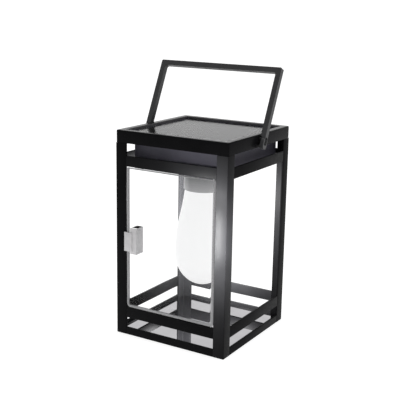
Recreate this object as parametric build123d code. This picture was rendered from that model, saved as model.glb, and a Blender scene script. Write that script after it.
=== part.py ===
from build123d import *

import math
import os

# Solar lantern: a square open frame of angle posts and flat rails, a lid that carries the solar
# panel, a battery housing under it with the bulb, a clear front door and a bail to carry it by.
# Millimetres. The origin is the middle of the footprint on the surface it stands on, +Z is up
# and the door is on the -Y side.

os.makedirs("parts", exist_ok=True)

# ---- driving dimensions -------------------------------------------------------------------
width = 150.0            # frame and lid, the same both ways
height = 250.0           # top of the lid's rim
sheet = 2.5              # wall of the posts and rails
post_leg = 14.4          # each leg of an angle post
lid_skirt = 14.8         # height of the lid's side
post_top = height - lid_skirt

top_rail_low, top_rail_high = 208.2, 221.0
mid_rail_low, mid_rail_high = 22.0, 35.4
foot_rail_high = 9.4
foot_ledge = 10.0        # how far the lowest rail's ledge reaches inward
mirror_top = 5.4         # upper face of the mirror plate
ledge_high = 2.5         # the plate lies on this height

lid_wall = 1.5
lid_corner = 2.5
rim_inner = 66.5         # half width of the recess that the panel lies in
deck_low, deck_high = 243.4, 245.3
panel_top = 247.4

housing_half = 59.6
housing_back = 71.6      # the back wall comes close to the back top rail
housing_low = 206.0
housing_wall = 2.0
base_low = 204.0         # underside of the housing's base plate
boss_at = 52.0           # the housing's corner bosses, from the middle
boss_radius = 3.5

collar_radius = 23.8
collar_low = 175.8
collar_wall = 1.0
bulb_radius = 33.8
bulb_low = 57.2          # the lowest point of the bulb's oval end
bulb_widest = 97.0       # the bulb is widest at this height
neck_radius = 21.9
neck_high = 182.4
bulb_wall = 1.2
cap_flange = 1.4         # thickness of the cap's flange inside the neck

door_gap = 0.4           # all round the door pane
door_thick = 2.5
door_pin_radius = 0.75
door_pin_in = 3.7        # from the opening's edge to the hinge pin
door_corner = 5.0

bail_bar = 6.4           # square section of the bail
bail_inner = 76.0        # inner face of each leg
bail_length = 88.3       # from the pivot to the bar's outer face
eye_radius = 4.3         # the legs widen to this round end
eye_low = 5.0            # centre of the round end, below the pivot
eye_rebate = 2.0         # cut away inside the eye, for the spacer
bail_lean = 25.0         # degrees behind upright, as it rests
pivot_y, pivot_z = -2.5, 242.2
pivot_radius = 2.0

half = width / 2
face = half - sheet / 2             # middle of the posts' and rails' walls
open_half = half - post_leg         # half width of each window
fit = 0.1                           # running clearance on the radius


def box(x0, x1, y0, y1, z0, z1):
    """A block between two opposite corners."""
    size = (x1 - x0, y1 - y0, z1 - z0)
    return Pos((x0 + x1) / 2, (y0 + y1) / 2, (z0 + z1) / 2) * Box(*size)


def rod(radius, x, y, z0, z1):
    """An upright round bar."""
    return Pos(x, y, (z0 + z1) / 2) * Cylinder(radius, z1 - z0)


def rod_x(radius, y, z, x0, x1):
    """A round bar along X."""
    return Pos((x0 + x1) / 2, y, z) * Rot(0, 90, 0) * Cylinder(radius, abs(x1 - x0))


def turned(points):
    """A solid turned about the Z axis from (radius, height) points."""
    profile = make_face(Polyline(*[(r, 0, z) for r, z in points], close=True))
    return revolve(profile, Axis.Z)


def as_one(pieces):
    """Several separate solids kept together in one node."""
    solids = []
    for piece in pieces:
        solids.extend(piece.solids())
    return Compound(children=solids)


def save(name, shape):
    export_step(shape, f"parts/{name}.step")


corners = [("front_left", -1, -1), ("front_right", 1, -1), ("back_right", 1, 1), ("back_left", -1, 1)]
sides = [("front", 0), ("right", 90), ("back", 180), ("left", 270)]


# ---- frame: four angle posts and three rings of rails --------------------------------------
def post(sx, sy):
    """An angle post with a thin tongue on each leg that the lid's skirt slides over."""
    inner = half - sheet
    leg_x = box(open_half, half, inner, half, 0, post_top)
    leg_y = box(inner, half, open_half, half, 0, post_top)
    tongue_out = half - lid_wall - 0.1
    tongue_high = post_top + 6.0
    tongue_x = box(open_half + 2, tongue_out, inner, tongue_out, post_top - 1, tongue_high)
    tongue_y = box(inner, tongue_out, open_half + 2, tongue_out, post_top - 1, tongue_high)
    shape = leg_x + leg_y + tongue_x + tongue_y
    edge = shape.edges().filter_by(Axis.Z).sort_by(lambda e: -(e.center().X + e.center().Y))[0]
    shape = fillet(edge, 0.8)
    if sx < 0:
        shape = mirror(shape, Plane.YZ)
    if sy < 0:
        shape = mirror(shape, Plane.XZ)
    return shape


for corner, sx, sy in corners:
    save(f"post_{corner}", post(sx, sy))


def front_rail(z0, z1):
    return box(-open_half, open_half, -half, -half + sheet, z0, z1)


door_pin_x = open_half - door_pin_in
door_pin_y = -half + sheet / 2
pin_sink = 5.0

for side, turn in sides:
    top = front_rail(top_rail_low, top_rail_high)
    mid = front_rail(mid_rail_low, mid_rail_high)
    if side == "front":
        top -= rod(door_pin_radius, door_pin_x, door_pin_y, top_rail_low - 1, top_rail_low + pin_sink)
        mid -= rod(door_pin_radius, door_pin_x, door_pin_y, mid_rail_high - pin_sink, mid_rail_high + 1)
    foot = front_rail(0, foot_rail_high)
    foot += box(-open_half, open_half, -half + sheet - 0.1, -half + sheet + foot_ledge, 0, ledge_high)
    save(f"top_rail_{side}", Rot(0, 0, turn) * top)
    save(f"middle_rail_{side}", Rot(0, 0, turn) * mid)
    save(f"foot_rail_{side}", Rot(0, 0, turn) * foot)

# The mirror plate drops into the lowest ring and lies on its ledges.
plate_half = half - sheet - 0.3
mirror_plate = box(-plate_half, plate_half, -plate_half, plate_half, ledge_high, mirror_top)
mirror_plate = chamfer(mirror_plate.edges().filter_by(Axis.Z), 1.0)
save("mirror_plate", mirror_plate)


# ---- lid: a shallow cap with a raised rim, pushed over the posts' tongues -------------------
head_sink = 2.0          # radius of the countersinks for the housing's screws


def lid():
    shape = box(-half, half, -half, half, post_top, height)
    shape = fillet(shape.edges().filter_by(Axis.Z), lid_corner)
    shape = fillet(shape.faces().sort_by(Axis.Z)[-1].edges(), 0.8)
    hollow = half - lid_wall
    shape -= box(-hollow, hollow, -hollow, hollow, post_top - 1, deck_low)
    shape -= box(-rim_inner, rim_inner, -rim_inner, rim_inner, deck_high, height + 1)
    for sx in (-1, 1):
        shape -= rod_x(pivot_radius, pivot_y, pivot_z, sx * (half - lid_wall - 1), sx * (half + 1))
        low, high = sorted((sx * (hollow - 4.5), sx * hollow))
        shape -= box(low, high, pivot_y - 4.2, pivot_y + 4.2, deck_low - 1, pivot_z + 4.0)
        for sy in (-1, 1):
            shape -= rod(1.1, sx * boss_at, sy * boss_at, deck_low - 1, deck_high + 1)
            shape -= rod(head_sink, sx * boss_at, sy * boss_at, deck_high - 1.1, deck_high + 1)
    shape -= rod(2.5, 0, 30.0, deck_low - 1, deck_high + 1)
    for sx in (-1, 1):
        shape -= rod(0.9, sx * 54.0, 71.5, height - 1.2, height + 1)
    return shape


save("lid", lid())

# Solar panel, from the deck up: backing board, cells, cover glass, and the bead that seals it.
board_half = rim_inner - 0.7
board_high = deck_high + 0.8
cell_high = board_high + 0.3
save("panel_board", box(-board_half, board_half, -board_half, board_half, deck_high, board_high))

cell_count = 8
cell_pitch = 2 * (board_half - 3.0) / cell_count
cells = []
for n in range(cell_count):
    x0 = -board_half + 3.0 + n * cell_pitch + 0.6
    cells.append(box(x0, x0 + cell_pitch - 1.2, -board_half + 5, board_half - 5, board_high, cell_high))
save("solar_cells", as_one(cells))
save("panel_glass", box(-board_half, board_half, -board_half, board_half, cell_high, panel_top))

bead = box(-rim_inner, rim_inner, -rim_inner, rim_inner, deck_high, panel_top - 0.4)
bead -= box(-board_half, board_half, -board_half, board_half, deck_high - 1, panel_top)
save("panel_seal", bead)


# ---- housing under the lid: holds the battery and the circuit -------------------------------
def housing():
    """Four walls with corner bosses; the front wall steps back beside the left corner."""
    outer = box(-housing_half, housing_half, -housing_half, housing_back, housing_low, deck_low)
    outer = fillet(outer.edges().filter_by(Axis.Z), 1.2)
    step = box(-36.0, housing_half - 1.2, -housing_half - 1.0, -housing_half + 0.5, housing_low, deck_low)
    inner = housing_half - housing_wall
    shape = outer + step
    shape -= box(-inner, inner, -inner, housing_back - housing_wall, housing_low - 1, deck_low + 1)
    for sx in (-1, 1):
        for sy in (-1, 1):
            x, y = sx * boss_at, sy * boss_at
            shape += rod(boss_radius, x, y, housing_low, deck_low)
            shape += box(min(x, sx * inner), max(x, sx * inner), y - 1, y + 1, housing_low, deck_low)
            shape -= rod(1.0, x, y, housing_low - 1, housing_low + 9)
            shape -= rod(1.0, x, y, deck_low - 9, deck_low + 1)
    return shape


save("housing", housing())


def pan_screw(x, y, seat, shank, head_radius=2.4, head=1.6, thread=1.0):
    """A small cross-head screw driven upward, its head seated under the height given."""
    shape = rod(thread, x, y, seat, seat + shank) + rod(head_radius, x, y, seat - head, seat)
    slot = Pos(x, y, seat - head) * Box(2 * head_radius - 1, 0.7, 1.2)
    cross = Pos(x, y, seat - head) * Box(0.7, 2 * head_radius - 1, 1.2)
    return shape - slot - cross


base_screws = []
for sx in (-1, 1):
    for sy in (-1, 1):
        base_screws.append(pan_screw(sx * boss_at, sy * boss_at, base_low, 8.0))

# Base plate of the housing, with the collar that hides the lamp holder.
switch_x, switch_y = 38.0, -42.0
switch_travel = 4.0
knob_half = 2.5
holder_neck = 9.0        # radius of the lamp holder's neck where it goes through the base plate
base = box(-housing_half, housing_half, -housing_half, housing_back, base_low, housing_low)
base = fillet(base.edges().filter_by(Axis.Z), 1.2)
base -= rod(holder_neck, 0, 0, base_low - 1, housing_low + 1)
for sx in (-1, 1):
    for sy in (-1, 1):
        base -= rod(1.2, sx * boss_at, sy * boss_at, base_low - 1, housing_low + 1)
slot_half = knob_half + switch_travel / 2 + 0.4
base -= box(switch_x - slot_half, switch_x + slot_half, switch_y - 2.0, switch_y + 2.0,
            base_low - 1, housing_low + 1)
save("housing_base", base)
save("base_screws", as_one(base_screws))

housing_screws = []
for sx in (-1, 1):
    for sy in (-1, 1):
        x, y = sx * boss_at, sy * boss_at
        seat = deck_high - 1.1
        shank = rod(1.0, x, y, deck_low - 8, seat)
        head = rod(head_sink - 0.1, x, y, seat, deck_high - 0.1)
        housing_screws.append(shank + head)
save("housing_screws", as_one(housing_screws))

# Slide switch: its body inside the base plate and the knob that a finger moves.
switch_roof = housing_low + 6.0
switch_body = box(switch_x - 7, switch_x + 7, switch_y - 4, switch_y + 4, housing_low, switch_roof)
switch_body -= box(switch_x - slot_half, switch_x + slot_half, switch_y - 2.0, switch_y + 2.0,
                   housing_low - 1, housing_low + 3.4)
save("switch_body", switch_body)
knob_x = switch_x - switch_travel / 2
knob = box(knob_x - knob_half, knob_x + knob_half, switch_y - 1.7, switch_y + 1.7,
           base_low - 1.8, housing_low + 3.0)
for n in range(3):
    x = knob_x - 1.4 + 1.4 * n
    knob -= box(x - 0.3, x + 0.3, switch_y - 2, switch_y + 2, base_low - 2, base_low - 1.3)
save("switch_knob", knob)

# Battery, its holder and contacts, and the circuit board, all inside the housing.
cell_radius, cell_length = 9.2, 65.0
battery_y, battery_z = 28.0, housing_low + 2.0 + cell_radius
holder_half_x = cell_length / 2 + 6.0
holder = box(-holder_half_x, holder_half_x, battery_y - 12, battery_y + 12, housing_low, battery_z + 2)
holder -= box(-holder_half_x + 2, holder_half_x - 2, battery_y - 9.9, battery_y + 9.9,
              battery_z - cell_radius - 0.4, battery_z + 3)
save("battery_holder", holder)
save("battery_cell", rod_x(cell_radius, battery_y, battery_z, -cell_length / 2, cell_length / 2))
contact_gap = holder_half_x - 2
plus_plate = box(cell_length / 2, contact_gap, battery_y - 5, battery_y + 5, battery_z - 5, battery_z + 5)
minus_plate = box(-contact_gap, -contact_gap + 0.6, battery_y - 5, battery_y + 5, battery_z - 5, battery_z + 5)
save("battery_contacts", as_one([plus_plate, minus_plate]))
spring_length = -cell_length / 2 + contact_gap - 0.6
wire = 0.35
coil = Helix(pitch=1.1, height=spring_length - 2 * wire, radius=3.6)
section = Plane(origin=coil @ 0, z_dir=coil % 0) * Circle(wire)
spring = sweep(section, path=coil, is_frenet=True)
save("battery_spring", Pos(-contact_gap + 0.6 + wire, battery_y, battery_z) * Rot(0, 90, 0) * spring)

board_z = housing_low + 6.0
board = box(-34, 22, -48, -22, board_z, board_z + 1.6)
save("circuit_board", board)
standoffs = []
for x in (-31, 19):
    for y in (-45, -25):
        standoffs.append(rod(2.2, x, y, housing_low, board_z))
save("board_standoffs", as_one(standoffs))
board_parts = [
    box(-26, -16, -40, -30, board_z + 1.6, board_z + 3.2),
    box(-8, -2, -43, -37, board_z + 1.6, board_z + 4.0),
    rod(3.0, 6, -33, board_z + 1.6, board_z + 8.6),
    rod(2.2, 14, -40, board_z + 1.6, board_z + 7.0),
    box(-12, 0, -30, -26, board_z + 1.6, board_z + 2.8),
]
save("board_components", as_one(board_parts))
leads = []
for x in (-1.4, 1.4):
    leads.append(rod(0.7, x, 30.0, battery_z + cell_radius + 0.8, deck_high))
save("panel_leads", as_one(leads))


# ---- lamp: collar, holder, bulb and its light source ---------------------------------------
collar_roof = base_low - 2.0
collar_inner = collar_radius - collar_wall
collar = turned([
    (holder_neck, base_low), (collar_radius, base_low), (collar_radius, collar_low + 0.5),
    (collar_radius - 0.4, collar_low), (collar_inner, collar_low), (collar_inner, collar_roof),
    (holder_neck, collar_roof),
])
save("lamp_collar", collar)

# The holder's threaded neck goes up through the collar and the base plate to a ring nut.
socket_radius, socket_out, socket_low = 13.6, 15.5, 187.0
neck_end = housing_low + 4.5
lamp_holder = turned([
    (4.0, neck_end), (holder_neck, neck_end), (holder_neck, collar_roof), (socket_out, collar_roof),
    (socket_out, socket_low), (socket_radius, socket_low), (socket_radius, collar_roof - 2.5),
    (4.0, collar_roof - 2.5),
])
save("lamp_holder", lamp_holder)
holder_nut = rod(13.0, 0, 0, housing_low, housing_low + 3.0)
holder_nut -= rod(holder_neck, 0, 0, housing_low - 1, housing_low + 4)
save("holder_nut", holder_nut)

# The bulb's cap plugs into the holder; its flange fills the neck of the globe.
cap_high = collar_roof - 3.0
cap_low = neck_high - cap_flange
plug = socket_radius - 0.6
inner_neck = neck_radius - bulb_wall
bulb_cap = turned([
    (0, cap_high), (4.5, cap_high), (5.5, cap_high - 1.5), (plug, cap_high - 3.0),
    (plug, neck_high + 2.6), (inner_neck, neck_high), (inner_neck, cap_low), (0, cap_low),
])
save("bulb_cap", bulb_cap)
lamp_leads = [rod(0.8, x, 0, cap_high, housing_low + 5.5) for x in (-1.6, 1.6)]
save("lamp_leads", as_one(lamp_leads))


def globe_solid(inset, top):
    """The bulb's shape, drawn in from its outer surface: oval end, long taper, straight neck."""
    ball = bulb_radius - inset
    neck = neck_radius - inset
    low = bulb_low + inset
    end_high = bulb_widest - low
    end_points = [
        (ball * math.sin(math.radians(lean)), 0, bulb_widest - end_high * math.cos(math.radians(lean)))
        for lean in (0, 30, 60, 90)
    ]
    oval_end = Spline(*end_points, tangents=[(1, 0, 0), (0, 0, 1)])
    neck_start = (neck, 0, neck_high - 3.4)
    taper = Spline(
        (ball, 0, bulb_widest), (ball - 1.8, 0, 124), (ball - 4.6, 0, 139), (ball - 8.0, 0, 154),
        (ball - 10.4, 0, 168), neck_start, tangents=[(0, 0, 1), (0, 0, 1)],
    )
    rise = Line(neck_start, (neck, 0, top))
    across = Line((neck, 0, top), (0, 0, top))
    axis = Line((0, 0, top), (0, 0, low))
    return revolve(make_face([oval_end, taper, rise, across, axis]), Axis.Z)


save("bulb_globe", globe_solid(0, neck_high) - globe_solid(bulb_wall, neck_high + 1))
led_high = cap_low - 1.6
save("led_board", rod(16.0, 0, 0, led_high, cap_low))
led_chips = [rod(1.9, 0, 0, led_high - 1, led_high)]
for n in range(6):
    angle = math.radians(60 * n)
    led_chips.append(rod(1.9, 9 * math.cos(angle), 9 * math.sin(angle), led_high - 1, led_high))
save("led_chips", as_one(led_chips))


# ---- door: a clear pane on two pins, with a moulded catch on its left edge ------------------
pane_low, pane_high = mid_rail_high + door_gap, top_rail_low - 1.2
pane_half = open_half - door_gap
pane_front = -half
pane_back = pane_front + door_thick
catch_left, catch_right = -54.8, -45.8
catch_low, catch_high = 103.3, 135.0
catch_gap = 0.3          # the catch stands this far clear of the post's face
tab_left = -62.4
tab_low, tab_high = 106.2, 129.6
tab_thick = 1.6

pane = box(-pane_half, pane_half, pane_front, pane_back, pane_low, pane_high)
pane = fillet(pane.edges().filter_by(Axis.Y), door_corner)
pane -= box(catch_left, catch_right, pane_front - 1, pane_back + 1, catch_low, catch_high)
pin_in_pane = 6.0
hole = door_pin_radius + fit
pane -= rod(hole, door_pin_x, door_pin_y, pane_low - 1, pane_low + pin_in_pane + 0.5)
pane -= rod(hole, door_pin_x, door_pin_y, pane_high - pin_in_pane - 0.5, pane_high + 1)
save("door_pane", pane)

pins = [
    rod(door_pin_radius, door_pin_x, door_pin_y, mid_rail_high - pin_sink, pane_low + pin_in_pane),
    rod(door_pin_radius, door_pin_x, door_pin_y, pane_high - pin_in_pane, top_rail_low + pin_sink),
]
save("door_pins", as_one(pins))


def catch():
    """Clear catch: a block through the pane, hollow at the back, and a tab over the post."""
    front = pane_front - catch_gap
    deep = pane_front + 14.0
    wall = 1.6
    block = box(catch_left, catch_right, front, deep, catch_low, catch_high)
    block -= box(catch_left + wall, catch_right - wall, pane_back, deep + 1,
                 catch_low - 1, catch_high + 1)
    tab = box(tab_left, catch_left + 3.0, front - tab_thick, front, tab_low, tab_high)
    tab = fillet(tab.edges().filter_by(Axis.Y), 0.6)
    return block + tab


save("door_catch", catch())


# ---- bail and its pivots -------------------------------------------------------------------
sink_radius, sink_reach, sink_deep = 2.9, 2.0, 1.9   # the long hollow round each screw's head


def upright_bail():
    """The U-shaped handle drawn upright about its pivot line, before it leans back."""
    outer = bail_inner + bail_bar
    deep = bail_bar / 2
    shape = box(-outer, outer, -deep, deep, bail_length - bail_bar, bail_length)
    for sx in (-1, 1):
        low, high = sorted((sx * bail_inner, sx * outer))
        shape += box(low, high, -deep, deep, 0, bail_length - bail_bar / 2)
    corners_out = [e for e in shape.edges().filter_by(Axis.Y) if e.center().Z > bail_length - 0.1]
    shape = fillet(corners_out, 1.6)
    corners_in = [e for e in shape.edges().filter_by(Axis.Y)
                  if abs(e.center().Z - (bail_length - bail_bar)) < 0.1]
    shape = fillet(corners_in, 2.4)
    for sx in (-1, 1):
        low, high = sorted((sx * bail_inner, sx * outer))
        shape += box(low, high, -eye_radius, eye_radius, -eye_low, 0)
        shape += rod_x(eye_radius, 0, -eye_low, low, high)
        shape += rod_x(eye_radius, 0, 0, low, high)
        rebate_low, rebate_high = sorted((sx * (bail_inner - 1), sx * (bail_inner + eye_rebate)))
        shape -= box(rebate_low, rebate_high, -8, 8, -12, 5.5)
        shape -= rod_x(pivot_radius + fit, 0, 0, sx * (bail_inner - 1), sx * (outer + 1))
        sink_low, sink_high = sorted((sx * (outer - sink_deep), sx * (outer + 1)))
        shape -= box(sink_low, sink_high, -sink_radius, sink_radius, -sink_reach, sink_reach)
        for z in (-sink_reach, sink_reach):
            shape -= rod_x(sink_radius, 0, z, sink_low, sink_high)
    return shape


bail = Pos(0, pivot_y, pivot_z) * Rot(-bail_lean, 0, 0) * upright_bail()
save("bail", bail)

spacer_radius = 5.0
spacers, pivot_screws, pivot_nuts = [], [], []
head_seat = bail_inner + bail_bar - sink_deep
spacer_out = bail_inner + eye_rebate - 0.1
for sx in (-1, 1):
    ring = rod_x(spacer_radius, pivot_y, pivot_z, sx * half, sx * spacer_out)
    ring -= rod_x(pivot_radius, pivot_y, pivot_z, sx * (half - 1), sx * (spacer_out + 1))
    spacers.append(ring)
    nut_face = half - lid_wall
    screw = rod_x(pivot_radius, pivot_y, pivot_z, sx * (nut_face - 3.0), sx * (head_seat + 0.1))
    screw += rod_x(2.5, pivot_y, pivot_z, sx * (head_seat + 0.1), sx * (head_seat + 1.6))
    for turn in (20, 110):
        cut = Pos(sx * (head_seat + 1.6), pivot_y, pivot_z) * Rot(turn, 0, 0) * Box(1.2, 3.4, 0.7)
        screw -= cut
    pivot_screws.append(screw)
    hexagon = extrude(RegularPolygon(3.2, 6), 2.4)
    nut = Pos(sx * nut_face, pivot_y, pivot_z) * Rot(0, -90 * sx, 0) * hexagon
    nut -= rod_x(pivot_radius, pivot_y, pivot_z, sx * (nut_face - 4), sx * (nut_face + 1))
    pivot_nuts.append(nut)
save("pivot_spacers", as_one(spacers))
save("pivot_screws", as_one(pivot_screws))
save("pivot_nuts", as_one(pivot_nuts))
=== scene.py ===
import math

import bmesh
import bpy
from mathutils import Matrix, Vector


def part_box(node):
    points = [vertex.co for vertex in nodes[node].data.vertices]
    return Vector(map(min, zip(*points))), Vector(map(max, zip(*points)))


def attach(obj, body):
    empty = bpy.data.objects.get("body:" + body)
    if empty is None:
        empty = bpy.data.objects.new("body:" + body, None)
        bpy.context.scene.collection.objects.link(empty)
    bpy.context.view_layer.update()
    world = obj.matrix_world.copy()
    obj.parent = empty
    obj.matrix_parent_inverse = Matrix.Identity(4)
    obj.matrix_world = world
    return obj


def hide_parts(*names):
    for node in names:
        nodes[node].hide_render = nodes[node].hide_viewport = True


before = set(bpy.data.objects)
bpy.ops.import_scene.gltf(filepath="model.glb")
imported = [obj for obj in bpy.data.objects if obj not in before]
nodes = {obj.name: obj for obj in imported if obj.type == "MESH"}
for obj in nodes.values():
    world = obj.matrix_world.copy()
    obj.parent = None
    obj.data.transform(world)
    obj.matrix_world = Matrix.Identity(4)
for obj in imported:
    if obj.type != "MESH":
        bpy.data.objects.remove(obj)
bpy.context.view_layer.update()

# A square solar lantern, built up in the order it is put together: posts, rails, mirror plate,
# lid and panel, battery housing, lamp, door, bail, and last the room it stands in. Metres.
mm = 0.001


# ---- Corner posts -------------------------------------------------------------------------
# Each post is one strip of steel sheet, folded to an angle along the lantern's corner and
# powder coated satin black. A thin tongue at its top goes up inside the lid's skirt.

def rounded_outline(corners, radii, steps=4):
    """The points round a flat outline whose corners are rounded, corner by corner."""
    points = []
    count = len(corners)
    for n, radius in enumerate(radii):
        corner = Vector(corners[n])
        before = (Vector(corners[n - 1]) - corner).normalized()
        after = (Vector(corners[(n + 1) % count]) - corner).normalized()
        if radius <= 0:
            points.append(corner)
            continue
        half_angle = before.angle(after) / 2
        reach = radius / math.tan(half_angle)
        centre = corner + (before + after).normalized() * (radius / math.sin(half_angle))
        start = (corner + before * reach - centre).normalized()
        end = (corner + after * reach - centre).normalized()
        for step in range(steps + 1):
            points.append(centre + start.slerp(end, step / steps) * radius)
    return points


def shrunk(points, distance):
    """A flat outline drawn in by a small distance all the way round; it runs anticlockwise."""
    moved = []
    count = len(points)
    for n, point in enumerate(points):
        along_in = point - points[n - 1]
        along_out = points[(n + 1) % count] - point
        if along_in.length < 1e-9:
            along_in = along_out
        if along_out.length < 1e-9:
            along_out = along_in
        side_in = Vector((-along_in.y, along_in.x)).normalized()
        side_out = Vector((-along_out.y, along_out.x)).normalized()
        lean = (side_in + side_out).normalized()
        moved.append(point + lean * (distance / max(0.5, lean.dot(side_in))))
    return moved


def join_rings(mesh, rings, ends=True):
    """Skins a row of point rings with four-sided faces and closes the first and the last."""
    made = [[mesh.verts.new(point) for point in ring] for ring in rings]
    count = len(made[0])
    for lower, upper in zip(made, made[1:]):
        for n in range(count):
            m = (n + 1) % count
            mesh.faces.new((lower[n], lower[m], upper[m], upper[n]))
    if ends:
        mesh.faces.new(list(reversed(made[0])))
        mesh.faces.new(made[-1])


def drawn_bar(mesh, outline, low, high, place, soft=0.35 * mm):
    """A bar of one section from low to high, its two ends slightly rounded over."""
    rings = []
    for end, towards, leans in ((low, 1, (0, 45, 90)), (high, -1, (90, 45, 0))):
        for lean in map(math.radians, leans):
            inward = soft * (1 - math.sin(lean))
            height = end + towards * soft * (1 - math.cos(lean))
            rings.append([place @ Vector((p.x, p.y, height)) for p in shrunk(outline, inward)])
    join_rings(mesh, rings)


def finish_piece(name, mesh, materials, body, stands_for, sharp=32):
    """Turns a worked mesh into a shown piece: its creases, its finish, its body, its CAD nodes."""
    bmesh.ops.recalc_face_normals(mesh, faces=mesh.faces)
    for face in mesh.faces:
        face.smooth = True
    for edge in mesh.edges:
        if len(edge.link_faces) == 2:
            edge.smooth = edge.calc_face_angle(0) < math.radians(sharp)
    data = bpy.data.meshes.new(name)
    mesh.to_mesh(data)
    mesh.free()
    piece = bpy.data.objects.new(name, data)
    bpy.context.scene.collection.objects.link(piece)
    for material in materials:
        data.materials.append(material)
    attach(piece, body)
    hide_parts(*stands_for)
    return piece


def new_finish(name):
    """An empty finish: its material, its node tree and its shader."""
    material = bpy.data.materials.new(name)
    material.use_nodes = True
    tree = material.node_tree
    return material, tree, tree.nodes["Principled BSDF"]


def grain(tree, scale, detail=3.0, roughness=0.5, stretch=None):
    """A noise that is fixed in the piece; scale is in lumps per metre."""
    where = tree.nodes.new("ShaderNodeTexCoord")
    noise = tree.nodes.new("ShaderNodeTexNoise")
    noise.inputs["Scale"].default_value = scale
    noise.inputs["Detail"].default_value = detail
    noise.inputs["Roughness"].default_value = roughness
    if stretch:
        mapping = tree.nodes.new("ShaderNodeMapping")
        mapping.inputs["Scale"].default_value = stretch
        tree.links.new(where.outputs["Object"], mapping.inputs["Vector"])
        tree.links.new(mapping.outputs["Vector"], noise.inputs["Vector"])
    else:
        tree.links.new(where.outputs["Object"], noise.inputs["Vector"])
    return noise


def spread(tree, source, low, high, start=0.3, end=0.7):
    """Two colours, or two greys, run into each other by a noise's value."""
    ramp = tree.nodes.new("ShaderNodeValToRGB")
    ramp.color_ramp.elements[0].position = start
    ramp.color_ramp.elements[1].position = end
    for element, colour in zip(ramp.color_ramp.elements, (low, high)):
        element.color = (*colour, 1) if isinstance(colour, tuple) else (colour, colour, colour, 1)
    tree.links.new(source, ramp.inputs["Fac"])
    return ramp.outputs["Color"]


def vary(tree, shader, channel, noise, low, high):
    """Lets one of the shader's inputs run between two values by a noise."""
    tree.links.new(spread(tree, noise.outputs["Fac"], low, high), shader.inputs[channel])


def dimple(tree, shader, noise, strength, depth):
    """Lets a noise stand as relief on the surface; depth is in metres."""
    relief = tree.nodes.new("ShaderNodeBump")
    relief.inputs["Strength"].default_value = strength
    relief.inputs["Distance"].default_value = depth
    tree.links.new(noise.outputs["Fac"], relief.inputs["Height"])
    tree.links.new(relief.outputs["Normal"], shader.inputs["Normal"])


def powder_coat(name, dark, light, smooth, rough, gloss):
    """Satin black powder coat: fine orange peel, and a faint cloudiness in tone and sheen."""
    material, tree, shader = new_finish(name)
    vary(tree, shader, "Base Color", grain(tree, 34, detail=4), dark, light)
    vary(tree, shader, "Roughness", grain(tree, 620, detail=2), smooth, rough)
    dimple(tree, shader, grain(tree, 1300, detail=2, roughness=0.4), 0.07, 0.03 * mm)
    shader.inputs["Specular IOR Level"].default_value = gloss
    return material


frame_coat = powder_coat(
    "black_powder_coat", (0.0056, 0.0056, 0.0060), (0.0078, 0.0078, 0.0083), 0.36, 0.48, 0.026)

lid_low, lid_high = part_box("lid")
post_low, post_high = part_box("post_back_right")
half = lid_high.x
open_half = post_low.x
post_top = lid_low.z
sheet = 2.5 * mm

angle_outline = rounded_outline(
    [(open_half, half), (open_half, half - sheet), (half - sheet, half - sheet),
     (half - sheet, open_half), (half, open_half), (half, half)],
    [0.4 * mm, 0.4 * mm, 0.8 * mm, 0.4 * mm, 0.4 * mm, 0.9 * mm])
tongue_edge = open_half + 2 * mm
tongue_out = post_high.x - 1.6 * mm
tongue_outline = rounded_outline(
    [(tongue_edge, tongue_out), (tongue_edge, half - sheet), (half - sheet, half - sheet),
     (half - sheet, tongue_edge), (tongue_out, tongue_edge), (tongue_out, tongue_out)],
    [0.2 * mm, 0.2 * mm, 0.4 * mm, 0.2 * mm, 0.2 * mm, 0.4 * mm])
joint_gap = 0.05 * mm

post_corners = ["back_right", "back_left", "front_left", "front_right"]
for turn, corner in enumerate(post_corners):
    around = Matrix.Rotation(math.radians(90 * turn), 4, "Z")
    mesh = bmesh.new()
    drawn_bar(mesh, angle_outline, 0, post_top - joint_gap, around)
    drawn_bar(mesh, tongue_outline, post_top - 0.4 * mm, post_high.z, around, soft=0.2 * mm)
    finish_piece(f"{corner}_corner_post", mesh, [frame_coat], "frame", [f"post_{corner}"])


# ---- Rails --------------------------------------------------------------------------------
# Three rings of four flat bars between the posts, welded flush with the posts' outer faces
# and coated with them. The lowest ring is folded inward at the bottom to make a ledge.

rail_sides = [("front", 0), ("right", 90), ("back", 180), ("left", 270)]
lying_along_x = Matrix(((0, 0, 1, 0), (1, 0, 0, 0), (0, 1, 0, 0), (0, 0, 0, 1)))
weld_gap = 0.06 * mm


def rail_outline(low, high, ledge=0.0, ledge_high=0.0):
    """The section of a rail at the front, in Y and Z; with a ledge it is an angle."""
    outer, inner = -half, -half + sheet
    if not ledge:
        return rounded_outline(
            [(outer, low), (inner, low), (inner, high), (outer, high)], [0.45 * mm] * 4)
    return rounded_outline(
        [(outer, low), (inner + ledge, low), (inner + ledge, ledge_high), (inner, ledge_high),
         (inner, high), (outer, high)],
        [0.5 * mm, 0.4 * mm, 0.4 * mm, 0.8 * mm, 0.45 * mm, 0.45 * mm])


top_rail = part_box("top_rail_back")
middle_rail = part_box("middle_rail_back")
foot_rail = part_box("foot_rail_back")
ledge = foot_rail[1].y - foot_rail[0].y - sheet
plate_low, plate_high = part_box("mirror_plate")
for side, degrees in rail_sides:
    around = Matrix.Rotation(math.radians(degrees), 4, "Z") @ lying_along_x
    outlines = {
        "top": rail_outline(top_rail[0].z, top_rail[1].z),
        "middle": rail_outline(middle_rail[0].z, middle_rail[1].z),
        "foot": rail_outline(foot_rail[0].z, foot_rail[1].z, ledge, plate_low.z),
    }
    for ring, outline in outlines.items():
        mesh = bmesh.new()
        drawn_bar(mesh, outline, -open_half + weld_gap, open_half - weld_gap, around, soft=0.25 * mm)
        finish_piece(
            f"{side}_{ring}_rail", mesh, [frame_coat], "frame", [f"{ring}_rail_{side}"])


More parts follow.
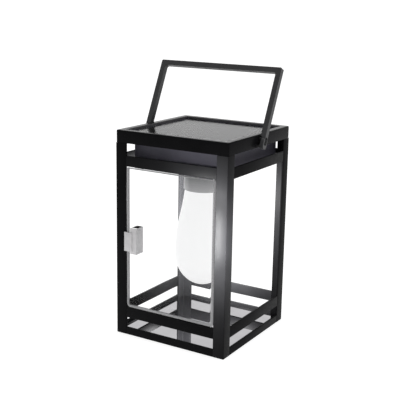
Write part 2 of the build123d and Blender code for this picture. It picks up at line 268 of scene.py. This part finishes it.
# ---- Mirror plate -------------------------------------------------------------------------
# A square of silvered glass that lies on the lowest ring's ledges and doubles the lamp's light.
# Its edges are ground and its surface holds a little dust.

def stacked_squares(mesh, rings):
    """Skins rounded squares one on the next; each ring is (half width, corner radius, height)."""
    points = []
    for reach, corner, z in rings:
        square = [(-reach, -reach), (reach, -reach), (reach, reach), (-reach, reach)]
        points.append([(p.x, p.y, z) for p in rounded_outline(square, [corner] * 4, 5)])
    join_rings(mesh, points)


def ground_plate(low, high, corner, ground):
    """A square plate whose edges are ground off by a small width, above and below."""
    mesh = bmesh.new()
    reach, ground_corner = high.x, corner - 0.2 * mm
    stacked_squares(mesh, [
        (reach - ground, ground_corner, low.z), (reach, corner, low.z + ground),
        (reach, corner, high.z - ground), (reach - ground, ground_corner, high.z),
    ])
    return mesh


silvering, tree, shader = new_finish("silvered_glass")
dust = grain(tree, 55, detail=5)
vary(tree, shader, "Base Color", dust, (0.39, 0.386, 0.398), (0.43, 0.425, 0.438))
smear = grain(tree, 16, detail=3, stretch=(1, 2.5, 1))
vary(tree, shader, "Roughness", smear, 0.015, 0.035)
shader.inputs["Metallic"].default_value = 1.0

mesh = ground_plate(plate_low, plate_high, 1.2 * mm, 0.5 * mm)
finish_piece("base_mirror", mesh, [silvering], "frame", ["mirror_plate"], sharp=20)


# ---- Lid ----------------------------------------------------------------------------------
# A pressed steel cap: a skirt, a flat rim, and inside the rim a shallow well for the panel. Its
# coat is smoother than the posts'; on the well's walls it is rougher, and a painted highlight makes
# them paler. Two small drain holes go down into the rim at the back.

def carve(piece, cutter):
    """Cuts one closed mesh out of a piece for good."""
    cut = piece.modifiers.new("cut", "BOOLEAN")
    cut.operation = "DIFFERENCE"
    cut.solver = "EXACT"
    cut.object = cutter
    bpy.context.view_layer.update()
    seen = bpy.context.evaluated_depsgraph_get()
    carved = bpy.data.meshes.new_from_object(piece.evaluated_get(seen))
    piece.modifiers.clear()
    piece.data = carved
    bpy.data.objects.remove(cutter)


def cutter_between(near, far):
    """A closed block to cut with, skinned from one ring of points to another."""
    mesh = bmesh.new()
    join_rings(mesh, [near, far])
    bmesh.ops.recalc_face_normals(mesh, faces=mesh.faces)
    data = bpy.data.meshes.new("cutter")
    mesh.to_mesh(data)
    mesh.free()
    cutter = bpy.data.objects.new("cutter", data)
    bpy.context.scene.collection.objects.link(cutter)
    return cutter


def circle(radius, z, x=0.0, y=0.0, segments=24):
    """The points round a level circle."""
    turns = [math.tau * n / segments for n in range(segments)]
    return [(x + radius * math.cos(turn), y + radius * math.sin(turn), z) for turn in turns]


lid_coat = powder_coat(
    "lid_powder_coat", (0.0050, 0.0050, 0.0055), (0.0072, 0.0071, 0.0079), 0.22, 0.28, 0.018)
# The well's walls and lip take a copy of the black coat painted much paler: a painted highlight where
# they face the light.
well_painted_highlight_coat = powder_coat(
    "well_wall_painted_highlight", (0.070, 0.069, 0.074), (0.100, 0.099, 0.105), 0.45, 0.60, 0.15)

seal_low, seal_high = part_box("panel_seal")
well_half = seal_high.x
skirt_inner = half - 1.5 * mm
deck_under = seal_low.z - 1.9 * mm
edge, lip, lid_corner = 1.4 * mm, 0.6 * mm, 2.5 * mm
skirt_end = post_top + joint_gap
lid_rings = [
    (skirt_inner - 1.2 * mm, 0.8 * mm, deck_under),
    (skirt_inner - 0.4 * mm, 1.2 * mm, deck_under - 0.4 * mm),
    (skirt_inner, 1.4 * mm, deck_under - 1.2 * mm),
    (skirt_inner, 1.4 * mm, post_top + 0.4 * mm),
    (skirt_inner + 0.3 * mm, 1.7 * mm, skirt_end),
    (half - 0.4 * mm, 2.2 * mm, skirt_end),
    (half - 0.1 * mm, 2.4 * mm, post_top + 0.2 * mm),
    (half, lid_corner, post_top + 0.5 * mm),
]
for step in range(5):
    lean = math.radians(90 * step / 4)
    inward = edge * (1 - math.cos(lean))
    lid_rings.append((half - inward, lid_corner - inward, lid_high.z - edge * (1 - math.sin(lean))))
for step in range(4):
    lean = math.radians(90 * step / 3)
    outward, down = lip * (1 - math.sin(lean)), lip * (1 - math.cos(lean))
    lid_rings.append((well_half + outward, 1.2 * mm, lid_high.z - down))
lid_rings += [
    (well_half, 1.0 * mm, seal_low.z + 0.3 * mm), (well_half - 0.3 * mm, 0.8 * mm, seal_low.z),
]
mesh = bmesh.new()
stacked_squares(mesh, lid_rings)
# Faces of the well's walls and lip take the second coat, the one with the painted highlight.
for face in mesh.faces:
    middle = face.calc_center_median()
    if len(face.verts) == 4 and seal_low.z < middle.z < lid_high.z - 0.1 * mm:
        if max(abs(middle.x), abs(middle.y)) < well_half + 0.5 * mm:
            face.material_index = 1
lid = finish_piece("lid_cap", mesh, [lid_coat, well_painted_highlight_coat], "frame", ["lid"], sharp=40)
drain_radius, drain_depth, drain_x, drain_y = 0.9 * mm, 1.3 * mm, 54 * mm, 71.3 * mm
for side in (-1, 1):
    carve(lid, cutter_between(
        circle(drain_radius, lid_high.z - drain_depth, side * drain_x, drain_y),
        circle(drain_radius, lid_high.z + 1 * mm, side * drain_x, drain_y)))


# ---- Solar panel --------------------------------------------------------------------------
# Dark silicon strips with fine silver lines, on a black board, under a sheet of clear cover
# glass that lies in the lid's well in a bead of black sealant.

def coat(node, material):
    """Gives a CAD piece its finish."""
    nodes[node].data.materials.clear()
    nodes[node].data.materials.append(material)


silicon, tree, shader = new_finish("silicon_cells")
crystal = grain(tree, 90, detail=6)
tone = spread(tree, crystal.outputs["Fac"], (0.020, 0.018, 0.030), (0.032, 0.029, 0.046))
where = tree.nodes.new("ShaderNodeTexCoord")
fingers = tree.nodes.new("ShaderNodeTexWave")
fingers.bands_direction = "Y"
fingers.inputs["Scale"].default_value = 200
fingers.inputs["Distortion"].default_value = 0
tree.links.new(where.outputs["Object"], fingers.inputs["Vector"])
finger_mask = spread(tree, fingers.outputs["Fac"], 0.0, 1.0, 0.90, 0.97)
silvered = tree.nodes.new("ShaderNodeMix")
silvered.data_type = "RGBA"
silvered.inputs["B"].default_value = (0.16, 0.16, 0.18, 1)
tree.links.new(finger_mask, silvered.inputs["Factor"])
tree.links.new(tone, silvered.inputs["A"])
tree.links.new(silvered.outputs["Result"], shader.inputs["Base Color"])
shader.inputs["Roughness"].default_value = 0.35
shader.inputs["Specular IOR Level"].default_value = 0.05
coat("solar_cells", silicon)

backing, tree, shader = new_finish("panel_backing")
weave = grain(tree, 400, detail=3)
vary(tree, shader, "Base Color", weave, (0.035, 0.033, 0.050), (0.050, 0.048, 0.068))
shader.inputs["Roughness"].default_value = 0.5
shader.inputs["Specular IOR Level"].default_value = 0.05
coat("panel_board", backing)

sealant, tree, shader = new_finish("black_sealant")
lump = grain(tree, 240, detail=2)
vary(tree, shader, "Base Color", lump, (0.045, 0.045, 0.047), (0.065, 0.065, 0.068))
dimple(tree, shader, lump, 0.4, 0.2 * mm)
shader.inputs["Roughness"].default_value = 0.55
coat("panel_seal", sealant)

cover_glass, tree, shader = new_finish("panel_cover_glass")
vary(tree, shader, "Roughness", grain(tree, 22, detail=3), 0.145, 0.16)
shader.inputs["Specular Tint"].default_value = (0.90, 0.885, 1.0, 1)
shader.inputs["Base Color"].default_value = (0.80, 0.78, 0.88, 1)
shader.inputs["Transmission Weight"].default_value = 1.0
shader.inputs["IOR"].default_value = 1.17
glass_low, glass_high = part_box("panel_glass")
mesh = ground_plate(glass_low, glass_high, 0.8 * mm, 0.25 * mm)
finish_piece("panel_cover", mesh, [cover_glass], "frame", ["panel_glass"], sharp=20)


# ---- Battery housing ----------------------------------------------------------------------
# A moulded box of dark plastic under the lid; its front wall steps back beside the left
# corner. A base plate closes it from below on four screws and has the switch's slot.

def soften(piece, width, segments=2):
    """Rounds over the crisp edges of a CAD piece without touching its own mesh."""
    weld = piece.modifiers.new("weld", "WELD")
    weld.merge_threshold = 1e-6
    bevel = piece.modifiers.new("soften", "BEVEL")
    bevel.width = width
    bevel.segments = segments
    bevel.limit_method = "ANGLE"
    bevel.angle_limit = math.radians(40)
    bevel.harden_normals = False


moulded_dark, tree, shader = new_finish("moulded_dark_plastic")
flow = grain(tree, 30, detail=3)
vary(tree, shader, "Base Color", flow, (0.060, 0.058, 0.074), (0.078, 0.075, 0.095))
spark = grain(tree, 900, detail=2)
dimple(tree, shader, spark, 0.3, 0.05 * mm)
vary(tree, shader, "Roughness", spark, 0.45, 0.6)
shader.inputs["Specular IOR Level"].default_value = 0.20
for node in ("housing", "housing_base", "switch_body"):
    coat(node, moulded_dark)
soften(nodes["housing"], 0.3 * mm)
soften(nodes["housing_base"], 0.3 * mm)

knob_plastic, tree, shader = new_finish("switch_knob_plastic")
speck = grain(tree, 500, detail=3)
vary(tree, shader, "Base Color", speck, (0.02, 0.02, 0.02), (0.035, 0.035, 0.035))
shader.inputs["Roughness"].default_value = 0.45
coat("switch_knob", knob_plastic)

plated_steel, tree, shader = new_finish("zinc_plated_steel")
turned_marks = grain(tree, 700, detail=3)
vary(tree, shader, "Base Color", turned_marks, (0.42, 0.42, 0.44), (0.58, 0.58, 0.60))
vary(tree, shader, "Roughness", turned_marks, 0.25, 0.4)
shader.inputs["Metallic"].default_value = 1.0
for node in ("base_screws", "pivot_nuts", "door_pins", "battery_contacts", "battery_spring"):
    coat(node, plated_steel)

blackened_steel, tree, shader = new_finish("blackened_steel")
bluing = grain(tree, 500, detail=3)
vary(tree, shader, "Base Color", bluing, (0.0025, 0.0025, 0.0027), (0.0050, 0.0050, 0.0054))
vary(tree, shader, "Roughness", bluing, 0.3, 0.45)
shader.inputs["Specular IOR Level"].default_value = 0.12
for node in ("housing_screws", "pivot_screws", "pivot_spacers"):
    coat(node, blackened_steel)


# ---- Inside the housing -------------------------------------------------------------------
# One round cell in a moulded holder, a small circuit board on four posts, and the wires
# between panel, board and lamp. The housing hides all of it.

hidden_finishes = {
    "holder_black": ((0.02, 0.02, 0.02), (0.035, 0.035, 0.035), 0.5,
                     ["battery_holder", "board_standoffs"]),
    "cell_sleeve": ((0.03, 0.16, 0.40), (0.04, 0.20, 0.48), 0.3, ["battery_cell"]),
    "board_green": ((0.02, 0.14, 0.05), (0.03, 0.20, 0.07), 0.35, ["circuit_board"]),
    "part_black": ((0.015, 0.015, 0.015), (0.03, 0.03, 0.03), 0.4, ["board_components"]),
    "wire_red": ((0.40, 0.02, 0.02), (0.48, 0.03, 0.03), 0.5, ["panel_leads", "lamp_leads"]),
    "socket_white": ((0.62, 0.62, 0.60), (0.70, 0.70, 0.68), 0.45,
                     ["lamp_holder", "holder_nut", "bulb_cap"]),
    "board_white": ((0.75, 0.75, 0.74), (0.82, 0.82, 0.80), 0.4, ["led_board"]),
    "phosphor_yellow": ((0.80, 0.66, 0.18), (0.88, 0.74, 0.24), 0.5, ["led_chips"]),
}
for finish, (dark, light, rough, hidden_nodes) in hidden_finishes.items():
    material, tree, shader = new_finish(finish)
    vary(tree, shader, "Base Color", grain(tree, 300, detail=3), dark, light)
    shader.inputs["Roughness"].default_value = rough
    for node in hidden_nodes:
        coat(node, material)


# ---- Lamp ---------------------------------------------------------------------------------
# A grey moulded collar on the base plate hides the lamp holder; the bulb's glow on it is painted into
# its colour, pale at the lower edge next to the bulb and dark at the top. The bulb below it is one
# blown globe of frosted plastic, lit from inside, so that it glows evenly all over.

def turned(mesh, profile):
    """Turns (radius, height) points about the lantern's middle line; the ends may be points."""
    join_rings(mesh, [circle(radius, z, segments=96) for radius, z in profile], ends=False)
    bmesh.ops.remove_doubles(mesh, verts=mesh.verts, dist=1e-7)


collar_low, collar_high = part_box("lamp_collar")
collar_radius = collar_high.x
collar_glow_painted, tree, shader = new_finish("grey_collar_painted_glow")
# Painted glow: the colour runs by height from pale at the bottom, where the bulb's light falls, to dark
# grey at the top.
where = tree.nodes.new("ShaderNodeTexCoord")
split = tree.nodes.new("ShaderNodeSeparateXYZ")
tree.links.new(where.outputs["Object"], split.inputs["Vector"])
rise = tree.nodes.new("ShaderNodeMapRange")
rise.inputs["From Min"].default_value = collar_low.z
rise.inputs["From Max"].default_value = collar_high.z
tree.links.new(split.outputs["Z"], rise.inputs["Value"])
shade = spread(tree, rise.outputs["Result"], (0.56, 0.56, 0.57), (0.095, 0.095, 0.10), 0.0, 1.0)
tree.links.new(shade, shader.inputs["Base Color"])
flow = grain(tree, 700, detail=2)
vary(tree, shader, "Roughness", flow, 0.28, 0.36)
dimple(tree, shader, flow, 0.15, 0.04 * mm)
collar_hole = 9.0 * mm
collar_bore = collar_radius - 1.0 * mm
collar_roof = collar_high.z - 2.0 * mm
groove, groove_floor = collar_low.z + 24.2 * mm, collar_radius - 0.25 * mm
mesh = bmesh.new()
turned(mesh, [
    (collar_hole, collar_high.z),
    (collar_radius - 0.5 * mm, collar_high.z), (collar_radius, collar_high.z - 0.5 * mm),
    (collar_radius, groove + 1.0 * mm), (groove_floor, groove + 0.7 * mm),
    (groove_floor, groove + 0.3 * mm), (collar_radius, groove),
    (collar_radius, collar_low.z + 0.5 * mm), (collar_radius - 0.15 * mm, collar_low.z + 0.15 * mm),
    (collar_radius - 0.5 * mm, collar_low.z), (collar_bore, collar_low.z),
    (collar_bore, collar_roof), (collar_hole, collar_roof), (collar_hole, collar_high.z),
])
finish_piece("socket_collar", mesh, [collar_glow_painted], "frame", ["lamp_collar"], sharp=35)


def smooth_line(points, steps=6):
    """A soft curve through points, for a blown or bent outline."""
    line = []
    for n in range(len(points) - 1):
        before = Vector(points[max(0, n - 1)])
        start, end = Vector(points[n]), Vector(points[n + 1])
        after = Vector(points[min(len(points) - 1, n + 2)])
        for step in range(steps):
            t = step / steps
            slope = end - before
            bend = 2 * before - 5 * start + 4 * end - after
            twist = 3 * start - before - 3 * end + after
            line.append(0.5 * (2 * start + slope * t + bend * t * t + twist * t ** 3))
    line.append(Vector(points[-1]))
    return line


globe_low, globe_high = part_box("bulb_globe")
ball = globe_high.x
widest = 97.0 * mm
frosted, tree, shader = new_finish("frosted_globe_lit")
shader.inputs["Roughness"].default_value = 0.6
shader.inputs["Specular IOR Level"].default_value = 0.1
mist = grain(tree, 25, detail=2)
vary(tree, shader, "Base Color", mist, (0.28, 0.28, 0.285), (0.32, 0.32, 0.325))
vary(tree, shader, "Emission Color", mist, (0.99, 0.99, 0.99), (1.0, 1.0, 1.0))
shader.inputs["Emission Strength"].default_value = 0.77
end_high = widest - globe_low.z
oval_end = [(ball * math.sin(math.radians(lean)), widest - end_high * math.cos(math.radians(lean)))
            for lean in range(0, 91, 5)]
neck = 21.9 * mm
taper = smooth_line([
    (ball, widest), (ball - 0.5 * mm, 110 * mm), (ball - 1.8 * mm, 124 * mm),
    (ball - 4.6 * mm, 139 * mm), (ball - 8.0 * mm, 154 * mm), (ball - 10.4 * mm, 168 * mm),
    (neck, globe_high.z - 3.4 * mm), (neck, globe_high.z)])
outside = [Vector(point) for point in oval_end] + taper[1:]
mesh = bmesh.new()
turned(mesh, [(p.x, p.y) for p in outside] + [(0.0, globe_high.z)])
globe = finish_piece("frosted_globe", mesh, [frosted], "frame", ["bulb_globe"], sharp=50)
globe.visible_shadow = False


# ---- Door ---------------------------------------------------------------------------------
# One clear moulded pane fills the front opening, flush with the rails. Its border is thinned
# to a frosted bevel. It turns on two steel pins at its right edge.

clear_plastic, tree, shader = new_finish("clear_pane_plastic")
vary(tree, shader, "Base Color", grain(tree, 12, detail=2), (0.985, 0.99, 0.99), (1.0, 1.0, 1.0))
shader.inputs["Roughness"].default_value = 0.0
shader.inputs["IOR"].default_value = 1.12
shader.inputs["Transmission Weight"].default_value = 1.0

frosted_edge, tree, shader = new_finish("frosted_pane_edge")
bite = grain(tree, 1100, detail=2)
vary(tree, shader, "Base Color", bite, (0.34, 0.34, 0.35), (0.46, 0.46, 0.47))
vary(tree, shader, "Roughness", bite, 0.25, 0.40)
dimple(tree, shader, bite, 0.3, 0.05 * mm)
shader.inputs["IOR"].default_value = 1.49
shader.inputs["Transmission Weight"].default_value = 0.30

pane_low, pane_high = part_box("door_pane")
band, top_band = 3.2 * mm, 1.0 * mm
low_corner, high_corner = 5.0 * mm, 1.5 * mm


def pane_ring(inset, y):
    """The pane's outline drawn in by a distance, at one depth; its top border is narrower."""
    top_inset = inset * top_band / band
    return [(p.x, y, p.y) for p in rounded_outline(
        [(pane_low.x + inset, pane_low.z + inset), (pane_high.x - inset, pane_low.z + inset),
         (pane_high.x - inset, pane_high.z - top_inset), (pane_low.x + inset, pane_high.z - top_inset)],
        [max(high_corner, low_corner - inset)] * 2 + [high_corner] * 2, 8)]


front, back = pane_low.y, pane_high.y
mesh = bmesh.new()
join_rings(mesh, [
    pane_ring(band, front), pane_ring(band - 0.2 * mm, front + 0.05 * mm),
    pane_ring(0.3 * mm, front + 0.55 * mm), pane_ring(0.0, front + 0.85 * mm),
    pane_ring(0.0, back - 0.25 * mm), pane_ring(0.25 * mm, back), pane_ring(band, back),
])
for face in mesh.faces:
    if len(face.verts) == 4:
        face.material_index = 1
pane = finish_piece(
    "door_sheet", mesh, [clear_plastic, frosted_edge], "door", ["door_pane"], sharp=20)

catch_low, catch_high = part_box("door_catch")
block_left, block_right = -54.8 * mm, -45.8 * mm
clearance = 0.15 * mm
window_left, window_right = block_left - clearance, block_right + clearance
window_low, window_high = catch_low.z - clearance, catch_high.z + clearance
window = [(window_left, window_low), (window_right, window_low),
          (window_right, window_high), (window_left, window_high)]
carve(pane, cutter_between(*[[(x, y, z) for x, z in window] for y in (front - 1 * mm, back + 1 * mm)]))


# ---- Door catch ---------------------------------------------------------------------------
# A clear moulded catch set through the pane's left edge: a hollow block whose two walls reach
# inward, and a thin tab in front that stops against the post.

clear_catch, tree, shader = new_finish("clear_catch_plastic")
cloud = grain(tree, 160, detail=3)
vary(tree, shader, "Base Color", cloud, (0.64, 0.63, 0.64), (0.72, 0.71, 0.72))
vary(tree, shader, "Roughness", cloud, 0.30, 0.40)
shader.inputs["IOR"].default_value = 1.49
shader.inputs["Transmission Weight"].default_value = 0.02
shader.inputs["Specular IOR Level"].default_value = 0.15

catch_front = front - 0.3 * mm
catch_wall = 1.6 * mm
wall_left, wall_right = block_left + catch_wall, block_right - catch_wall
channel = rounded_outline(
    [(block_left, catch_front), (block_right, catch_front), (block_right, catch_high.y),
     (wall_right, catch_high.y), (wall_right, back), (wall_left, back),
     (wall_left, catch_high.y), (block_left, catch_high.y)],
    [0.3 * mm, 0.3 * mm, 0.3 * mm, 0.3 * mm, 0.4 * mm, 0.4 * mm, 0.3 * mm, 0.3 * mm])
tab_right = block_left + 3.0 * mm
tab_low, tab_high = 106.2 * mm, 129.6 * mm
tab_outline = rounded_outline(
    [(catch_low.x, catch_low.y), (tab_right, catch_low.y), (tab_right, catch_front),
     (catch_low.x, catch_front)], [0.4 * mm, 0.4 * mm, 0.05 * mm, 0.3 * mm])
mesh = bmesh.new()
upright = Matrix.Identity(4)
drawn_bar(mesh, channel, catch_low.z, catch_high.z, upright, soft=0.3 * mm)
drawn_bar(mesh, tab_outline, tab_low, tab_high, upright, soft=0.3 * mm)
finish_piece("door_catch_moulding", mesh, [clear_catch], "door", ["door_catch"], sharp=40)


# ---- Bail ---------------------------------------------------------------------------------
# The carrying handle: one square steel bar bent to a U and coated satin black, with flattened
# eyes at its ends that turn on two screws in the lid's skirt.

bail_coat = powder_coat(
    "bail_powder_coat", (0.034, 0.034, 0.0355), (0.048, 0.048, 0.050), 0.36, 0.48, 0.36)
coat("bail", bail_coat)
soften(nodes["bail"], 0.55 * mm, 3)
soften(nodes["pivot_screws"], 0.2 * mm)


# ---- Floor, light and camera --------------------------------------------------------------
# A pale, faintly glowing sweep that curves up behind the lantern, soft light from above, and one
# from behind on the lid alone. Small lights beside the front right post and the lid's slot, and
# the lamp's own glow inside the frame, each reach only a few pieces.

pale, tree, shader = new_finish("pale_floor")
vary(tree, shader, "Base Color", grain(tree, 3.0, detail=2), (0.50, 0.50, 0.50), (0.54, 0.54, 0.54))
shader.inputs["Roughness"].default_value = 0.9
shader.inputs["Specular IOR Level"].default_value = 0.0
shader.inputs["Emission Color"].default_value = (1, 1, 1, 1)
shader.inputs["Emission Strength"].default_value = 0.80

floor_half_width, wall_height = 6.0, 4.0
bend_start, bend_radius = 3.0, 1.5
sweep = [(y, 0.0) for y in (-4.0, -1.0, 1.0, bend_start)]
for step in range(1, 9):
    lean = math.radians(90 * step / 8)
    sweep.append((bend_start + bend_radius * math.sin(lean), bend_radius * (1 - math.cos(lean))))
sweep.append((bend_start + bend_radius, wall_height))
mesh = bmesh.new()
rows = [[mesh.verts.new((x, y, z)) for x in (-floor_half_width, floor_half_width)] for y, z in sweep]
for lower, upper in zip(rows, rows[1:]):
    mesh.faces.new((lower[0], lower[1], upper[1], upper[0]))
for face in mesh.faces:
    face.smooth = True
floor_data = bpy.data.meshes.new("studio_floor")
mesh.to_mesh(floor_data)
mesh.free()
floor = bpy.data.objects.new("studio_floor", floor_data)
floor.data.materials.append(pale)
bpy.context.scene.collection.objects.link(floor)
heading, dip, roll = 0.5431, 0.2426, 0.0178
turn_to_camera = Matrix.Rotation(heading, 4, "Z")
floor.matrix_world = turn_to_camera


def shine_only_on(lamp, names):
    """Keeps a light off every piece but the named ones; with no names it lights everything."""
    if names:
        reach = bpy.data.collections.new(lamp.name + "_reach")
        for name in names:
            reach.objects.link(bpy.data.objects[name])
        lamp.light_linking.receiver_collection = reach


def soft_light(name, place, aim, width, height, power, only=()):
    """A rectangular soft light at a place, pointed at another; it may light some pieces only."""
    data = bpy.data.lights.new(name, "AREA")
    data.shape = "RECTANGLE"
    data.size, data.size_y = width, height
    data.energy = power
    lamp = bpy.data.objects.new(name, data)
    lamp.location = place
    lamp.rotation_euler = (Vector(aim) - Vector(place)).to_track_quat("-Z", "Y").to_euler()
    lamp.visible_camera = False
    bpy.context.scene.collection.objects.link(lamp)
    shine_only_on(lamp, only)


soft_light("top_light", (0.0, 0.3, 1.9), (0.0, 0.0, 0.1), 2.2, 2.2, 14)
soft_light(
    "back_light", turn_to_camera @ Vector((0, 2.9, 1.3)), (0, 0, 0.25), 3.0, 1.6, 16,
    ["lid_cap"])
soft_light(
    "post_glow", (0.032, -0.124, 0.134), (0.067, -0.075, 0.134), 0.012, 0.060, 1.15,
    ["front_right_corner_post"])
soft_light(
    "rail_glow", (0.045, -0.115, 0.190), (0.045, -0.075, 0.210), 0.050, 0.010, 0.16,
    ["front_top_rail", "front_right_corner_post"])
soft_light(
    "housing_fill", (0.045, -0.130, 0.228), (0.045, -0.060, 0.226), 0.020, 0.006, 0.026,
    ["housing"])
soft_light(
    "side_glow", (0.118, -0.100, 0.138), (0.075, -0.070, 0.138), 0.012, 0.060, 0.62,
    ["front_right_corner_post"])


def lamp_light(name, place, power, only):
    """The lamp's own light, from inside the globe; it reaches some pieces only."""
    data = bpy.data.lights.new(name, "POINT")
    data.energy = power
    data.shadow_soft_size = 0.018
    lamp = bpy.data.objects.new(name, data)
    lamp.location = place
    bpy.context.scene.collection.objects.link(lamp)
    shine_only_on(lamp, only)


lamp_light(
    "upper_lamp_glow", (-0.022, 0.022, 0.150), 7.0,
    [f"{corner}_corner_post" for corner in post_corners] + [f"{side}_top_rail" for side, _ in rail_sides])
lamp_light(
    "lower_lamp_glow", (-0.008, 0.020, 0.085), 7.0,
    ["back_middle_rail", "back_foot_rail", "back_left_corner_post"])
lamp_light(
    "left_lamp_glow", (-0.040, 0.048, 0.074), 1.4,
    ["left_middle_rail", "left_foot_rail", "right_middle_rail"])

world = bpy.data.worlds.new("studio_air")
world.use_nodes = True
world.node_tree.nodes["Background"].inputs["Color"].default_value = (1, 1, 1, 1)
world.node_tree.nodes["Background"].inputs["Strength"].default_value = 0.38
bpy.context.scene.world = world
bpy.context.scene.view_settings.view_transform = "Standard"

camera_data = bpy.data.cameras.new("camera")
camera_data.lens = 76.515
camera_data.clip_start = 0.05
camera = bpy.data.objects.new("camera", camera_data)
camera_place = (0.51237, -0.85689, 0.40863)
camera.matrix_world = (
    Matrix.Translation(camera_place) @ turn_to_camera
    @ Matrix.Rotation(math.pi / 2 - dip, 4, "X") @ Matrix.Rotation(roll, 4, "Z"))
bpy.context.scene.collection.objects.link(camera)
bpy.context.scene.camera = camera
